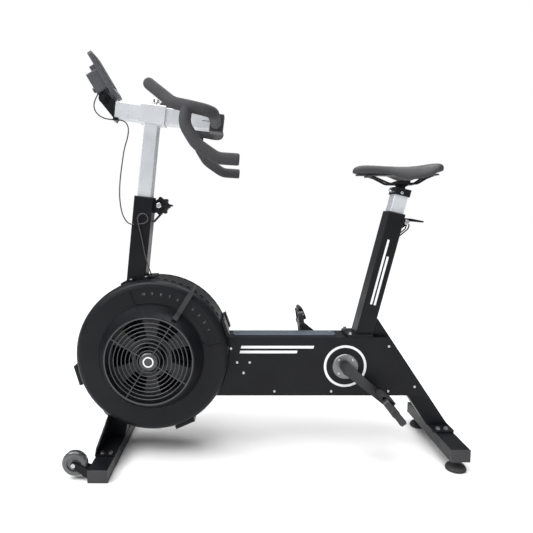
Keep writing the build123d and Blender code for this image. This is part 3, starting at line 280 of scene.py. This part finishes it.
def saddle_cover():
    """A matt synthetic cover with a fine pebble."""
    shader = finish_of("saddle cover", (0.017, 0.017, 0.02), (0.03, 0.03, 0.034), (0.5, 0.62))
    pebble = shader.nodes.new("ShaderNodeTexVoronoi")
    pebble.inputs["Scale"].default_value = 650
    shader.links.new(shader.place, pebble.inputs["Vector"])
    shader.bump(pebble.outputs["Distance"], 0.25, 0.0003)
    return shader.material


MATERIALS = {
    "black": black_coat("black paint").material,
    "panel": panel_paint(),
    "seat tube": seat_tube_paint(),
    "shell": black_coat("shell plastic").material,
    "plastic": finish_of("black plastic", (0.012, 0.012, 0.014), (0.022, 0.022, 0.025), (0.42, 0.56),
                         grain=900, bump=0.25, depth=0.0002).material,
    "cover": finish_of("cover strip", (0.045, 0.058, 0.075), (0.06, 0.075, 0.095), (0.3, 0.42),
                       grain=500).material,
    "case": finish_of("console case", (0.03, 0.031, 0.036), (0.045, 0.046, 0.052), (0.4, 0.55),
                      grain=1200, bump=0.2, depth=0.0002).material,
    "silver": finish_of("silver paint", (0.5, 0.52, 0.55), (0.58, 0.6, 0.63), (0.32, 0.44),
                        metallic=0.4, grain=900, bump=0.06, depth=0.0001).material,
    "steel": brushed("brushed steel", (0.42, 0.42, 0.43), (0.58, 0.58, 0.59), (0.28, 0.4), (1, 30, 1)),
    # Near-black steel for the fan wheel and axle: a dark finish that is also painted shade for the shaded
    # inside of the fan housing.
    "dark steel with painted shade": brushed("dark steel with painted shade", (0.015, 0.015, 0.016), (0.03, 0.03, 0.032), (0.4, 0.5),
                          (1, 30, 1)),
    "chrome": brushed("bright plating", (0.75, 0.75, 0.76), (0.82, 0.82, 0.83), (0.08, 0.16), (1, 1, 9)),
    "alloy": finish_of("crank casting", (0.012, 0.012, 0.013), (0.03, 0.03, 0.032), (0.35, 0.5),
                       metallic=0.3, grain=300, bump=0.2).material,
    "bearing": brushed("housing steel", (0.16, 0.165, 0.17), (0.27, 0.275, 0.28), (0.3, 0.42), (1, 1, 1)),
    "wire": grille_wire(),
    "foam": finish_of("grip foam", (0.022, 0.022, 0.025), (0.038, 0.038, 0.042), (0.75, 0.9),
                      grain=1100, bump=0.5, depth=0.0004).material,
    "belt": finish_of("belt rubber", (0.01, 0.01, 0.01), (0.02, 0.02, 0.02), (0.6, 0.8)).material,
    "lead": finish_of("lead jacket", (0.03, 0.03, 0.033), (0.05, 0.05, 0.054), (0.45, 0.6),
                      grain=300).material,
    "screen": finish_of("screen", (0.01, 0.012, 0.014), (0.02, 0.023, 0.026), (0.08, 0.14)).material,
    "button": finish_of("button silicone", (0.3, 0.31, 0.33), (0.38, 0.39, 0.41), (0.5, 0.6)).material,
    "tyre": wheel_tyre(),
    "rubber": finish_of("foot rubber", (0.012, 0.012, 0.013), (0.025, 0.025, 0.027), (0.55, 0.75),
                        grain=400, bump=0.3).material,
    "saddle": saddle_cover(),
    "print": finish_of("printed grey", (0.1, 0.102, 0.106), (0.13, 0.132, 0.136), (0.5, 0.6)).material,
}

NODE_MATERIALS = {
    "black": ["fan_hoop", "body_frame", "rear_leg", "front_leg", "front_stabilizer",
              "rear_stabilizer", "post_tube", "shell_clips", "seat_cap", "saddle_clamp",
              "seat_lever", "post_lever", "console_bracket", "saddle_rails"],
    "panel": ["left_side_panel", "right_side_panel"],
    "seat tube": ["seat_tube"],
    "shell": ["left_fan_shell", "right_fan_shell"],
    "plastic": ["stabilizer_caps", "tube_guides", "damper", "stem_end_plate", "post_knob",
                "left_pedal", "right_pedal", "left_toe_strap", "right_toe_strap", "saddle_shell"],
    "cover": ["top_cover"],
    "case": ["console_housing"],
    "silver": ["bar_post", "stem_tube", "seat_post"],
    # The fan wheel and axle are darkened partly as painted shade inside the fan housing.
    "dark steel with painted shade": ["fan_axle", "fan_wheel"],
    "steel": ["frame_bolts", "jackshaft", "crank_axle"],
    "bearing": ["bearings"],
    "chrome": ["stem_knob", "seat_cap_bolts"],
    "alloy": ["left_crank_arm", "right_crank_arm"],
    "wire": ["left_fan_grille", "right_fan_grille"],
    "foam": ["handlebar"],
    "belt": ["drive_belt", "fan_belt"],
    "screen": ["console_screen"],
    "button": ["left_button", "middle_button", "right_button"],
    "tyre": ["left_wheel", "right_wheel"],
    "rubber": ["left_foot", "right_foot"],
}


def paint(obj, name):
    obj.data.materials.clear()
    obj.data.materials.append(MATERIALS[name])


def paint_nodes():
    for name, nodes in NODE_MATERIALS.items():
        for node in nodes:
            paint(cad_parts[node], name)


# ---------------------------------------------------------------- meshes

def mesh_object(name, vertices, faces, material):
    mesh = bpy.data.meshes.new(name)
    mesh.from_pydata(vertices, [], faces)
    mesh.update()
    mesh.shade_smooth()
    obj = bpy.data.objects.new(name, mesh)
    bpy.context.scene.collection.objects.link(obj)
    paint(obj, material)
    return obj


def smooth_route(corners, steps=6):
    """Points along the smooth curve that a route's straight runs are tangent to."""
    corners = [Vector(corner) for corner in corners]
    joins = [corners[0]]
    joins += [(a + b) / 2 for a, b in zip(corners[1:-2], corners[2:-1])]
    joins.append(corners[-1])
    route = [corners[0]]
    for start, corner, end in zip(joins, corners[1:-1], joins[1:]):
        for step in range(1, steps + 1):
            t = step / steps
            route.append(start * (1 - t) ** 2 + corner * 2 * t * (1 - t) + end * t ** 2)
    return route


def tube_mesh(name, route, radius, material, sides=12):
    """A closed round tube along a route, without twist."""
    vertices = []
    side = Vector((0, 1, 0))
    for index, point in enumerate(route):
        ahead = route[min(index + 1, len(route) - 1)] - route[max(index - 1, 0)]
        ahead.normalize()
        side = (side - ahead * side.dot(ahead)).normalized()
        other = ahead.cross(side)
        for turn in range(sides):
            angle = 2 * math.pi * turn / sides
            offset = side * math.cos(angle) + other * math.sin(angle)
            vertices.append(point + offset * radius)
    faces = []
    for ring in range(len(route) - 1):
        for turn in range(sides):
            low = ring * sides
            after = (turn + 1) % sides
            faces.append((low + turn, low + after, low + sides + after, low + sides + turn))
    last = (len(route) - 1) * sides
    faces.append(tuple(reversed(range(sides))))
    faces.append(tuple(range(last, last + sides)))
    return mesh_object(name, vertices, faces, material)


def lead_piece(name, route):
    obj = tube_mesh(name, route, LEAD_RADIUS, "lead")
    return obj


def make_lead():
    """The console lead: console to stem, stem to post, and down the post to the hoop."""
    upper_route = smooth_route(LEAD_UPPER)
    upper = lead_piece("lead_console_to_stem", upper_route)
    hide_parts("lead_upper")
    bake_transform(upper)
    middle_route = smooth_route(LEAD_MIDDLE)
    split = next(i for i, point in enumerate(middle_route) if point.z < LEAD_SPLIT_Z)
    top_route = middle_route[:split + 1]
    low_route = middle_route[split:]
    top = lead_piece("lead_stem_to_post", top_route)
    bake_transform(top)
    low = lead_piece("lead_post_to_clip", low_route)
    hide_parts("lead_middle")
    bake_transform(low)
    lower_route = smooth_route(LEAD_LOWER)
    lower = lead_piece("lead_clip_to_housing", lower_route)
    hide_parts("lead_lower")
    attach(lower, "frame")


# ---------------------------------------------------------------- saddle

# Along the saddle: x, half width, height of the middle, height of the edge, and its underside.
SADDLE_SECTIONS = [
    (0.2795, 0.005, 0.9265, 0.9235, 0.9195),
    (0.284, 0.013, 0.9345, 0.9255, 0.9165),
    (0.296, 0.0185, 0.9410, 0.9280, 0.9150),
    (0.318, 0.0215, 0.9430, 0.9280, 0.9145),
    (0.350, 0.0245, 0.9415, 0.9260, 0.9145),
    (0.380, 0.0285, 0.9395, 0.9220, 0.9140),
    (0.408, 0.0360, 0.9380, 0.9130, 0.9060),
    (0.432, 0.0470, 0.9370, 0.9060, 0.8960),
    (0.456, 0.0585, 0.9370, 0.9030, 0.8920),
    (0.480, 0.0675, 0.9390, 0.9050, 0.8935),
    (0.504, 0.0735, 0.9425, 0.9120, 0.9010),
    (0.522, 0.0750, 0.9455, 0.9200, 0.9110),
    (0.540, 0.0690, 0.9470, 0.9270, 0.9170),
    (0.554, 0.0520, 0.9455, 0.9320, 0.9210),
    (0.5605, 0.0300, 0.9415, 0.9335, 0.9260),
]


def saddle_ring(x, half, middle, edge, under):
    """One closed cross-section: over the crown, round the edge and back underneath."""
    crown = [(0, 1.0), (0.22, 1.015), (0.45, 0.98), (0.68, 0.86), (0.86, 0.58), (0.97, 0.22)]
    skirt = [(1.0, -0.25), (0.975, -0.75)]
    right = [(share * half, edge + (middle - edge) * rise) for share, rise in crown]
    right += [(share * half, edge + (edge - under) * drop) for share, drop in skirt]
    inner = max(half - 0.012, half * 0.45)
    floor = max(under, min(0.9145, edge))
    right += [(half * 0.93, under), (inner, floor), (inner * 0.45, 0.9150 if under < 0.9150 else under)]
    left = [(-y, z) for y, z in reversed(right[1:])]
    return [Vector((x, y, z)) for y, z in right + left]


def make_saddle():
    """The crowned saddle, lofted through its cross-sections."""
    rings = [saddle_ring(*section) for section in SADDLE_SECTIONS]
    count = len(rings[0])
    vertices = [point for ring in rings for point in ring]
    faces = []
    for ring in range(len(rings) - 1):
        for index in range(count):
            after = (index + 1) % count
            low = ring * count
            faces.append((low + index, low + count + index, low + count + after, low + after))
    faces.append(tuple(range(count)))
    last = (len(rings) - 1) * count
    faces.append(tuple(reversed(range(last, last + count))))
    saddle = mesh_object("saddle", vertices, faces, "saddle")
    smoother = saddle.modifiers.new("smooth", "SUBSURF")
    smoother.levels = 2
    smoother.render_levels = 2
    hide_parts("saddle_pad")
    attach(saddle, "saddle")


# ---------------------------------------------------------------- damper scale

def make_scale():
    """The numbers of the damper's scale, printed on the left shell."""
    start, end = SCALE_ANGLES
    for number in range(1, 11):
        turn = math.radians(start + (end - start) * (number - 1) / 9)
        curve = bpy.data.curves.new(f"scale {number}", "FONT")
        curve.body = str(number)
        curve.size = SCALE_SIZE
        curve.align_x = "CENTER"
        curve.align_y = "CENTER"
        curve.extrude = 0.0001
        curve.materials.append(MATERIALS["print"])
        obj = bpy.data.objects.new(f"scale_number_{number}", curve)
        bpy.context.scene.collection.objects.link(obj)
        x = FAN[0] + SCALE_RADIUS * math.cos(turn)
        z = FAN[1] + SCALE_RADIUS * math.sin(turn)
        obj.matrix_world = Matrix.Translation((x, SHELL_FACE_Y - 0.0002, z)) @ (
            Matrix.Rotation(math.pi / 2 - turn, 4, "Y") @ Matrix.Rotation(math.pi / 2, 4, "X"))
        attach(obj, "frame")


# ---------------------------------------------------------------- studio

def area_light(name, place, target, size, power):
    lamp = bpy.data.lights.new(name, "AREA")
    lamp.shape = "RECTANGLE"
    lamp.size, lamp.size_y = size
    lamp.energy = power
    obj = bpy.data.objects.new(name, lamp)
    bpy.context.scene.collection.objects.link(obj)
    obj.location = place
    obj.rotation_euler = (Vector(target) - Vector(place)).to_track_quat("-Z", "Y").to_euler()


def make_studio():
    """A white floor, a world that is white to the camera and dimmer to surfaces, and lights."""
    bpy.ops.mesh.primitive_plane_add(size=30, location=(0, 0, -0.0005))
    floor = bpy.context.object
    floor.name = "floor"
    floor.data.materials.append(
        finish_of("floor", (0.84, 0.84, 0.84), (0.86, 0.86, 0.86), (0.6, 0.7), bump=0.01).material)
    world = bpy.data.worlds.new("studio")
    world.use_nodes = True
    tree = world.node_tree
    background = tree.nodes["Background"]
    background.inputs["Color"].default_value = (1, 1, 1, 1)
    seen = tree.nodes.new("ShaderNodeLightPath").outputs["Is Camera Ray"]
    strength = tree.nodes.new("ShaderNodeMapRange")
    strength.inputs["To Min"].default_value = WORLD_ON_SURFACES
    strength.inputs["To Max"].default_value = 1.0
    tree.links.new(seen, strength.inputs["Value"])
    tree.links.new(strength.outputs["Result"], background.inputs["Strength"])
    bpy.context.scene.world = world
    sun = bpy.data.lights.new("sky", "SUN")
    sun.energy = SUN_POWER
    sun.angle = math.radians(SUN_ANGLE)
    sky = bpy.data.objects.new("sky", sun)
    sky.rotation_euler = (math.radians(18), math.radians(-12), 0)
    bpy.context.scene.collection.objects.link(sky)
    area_light("key", (-2.4, -1.2, 2.2), (-0.2, 0, 0.7), (1.4, 1.4), 55)
    area_light("fill", (2.2, -2.2, 1.8), (0.2, 0, 0.5), (1.2, 1.2), 14)
    area_light("top", (0.2, 1.0, 2.6), (0.1, 0, 0.6), (2.4, 0.8), 35)


def make_camera():
    lens = bpy.data.cameras.new("camera")
    lens.lens = CAMERA_LENS
    lens.sensor_width = 36
    lens.shift_x = CAMERA_SHIFT
    camera = bpy.data.objects.new("camera", lens)
    bpy.context.scene.collection.objects.link(camera)
    camera.location = CAMERA_PLACE
    camera.rotation_euler = (math.radians(90 - CAMERA_PITCH), 0, 0)
    bpy.context.scene.camera = camera
    bpy.context.scene.view_settings.view_transform = "Standard"


paint_nodes()
make_lead()
make_saddle()
make_scale()
make_studio()
make_camera()
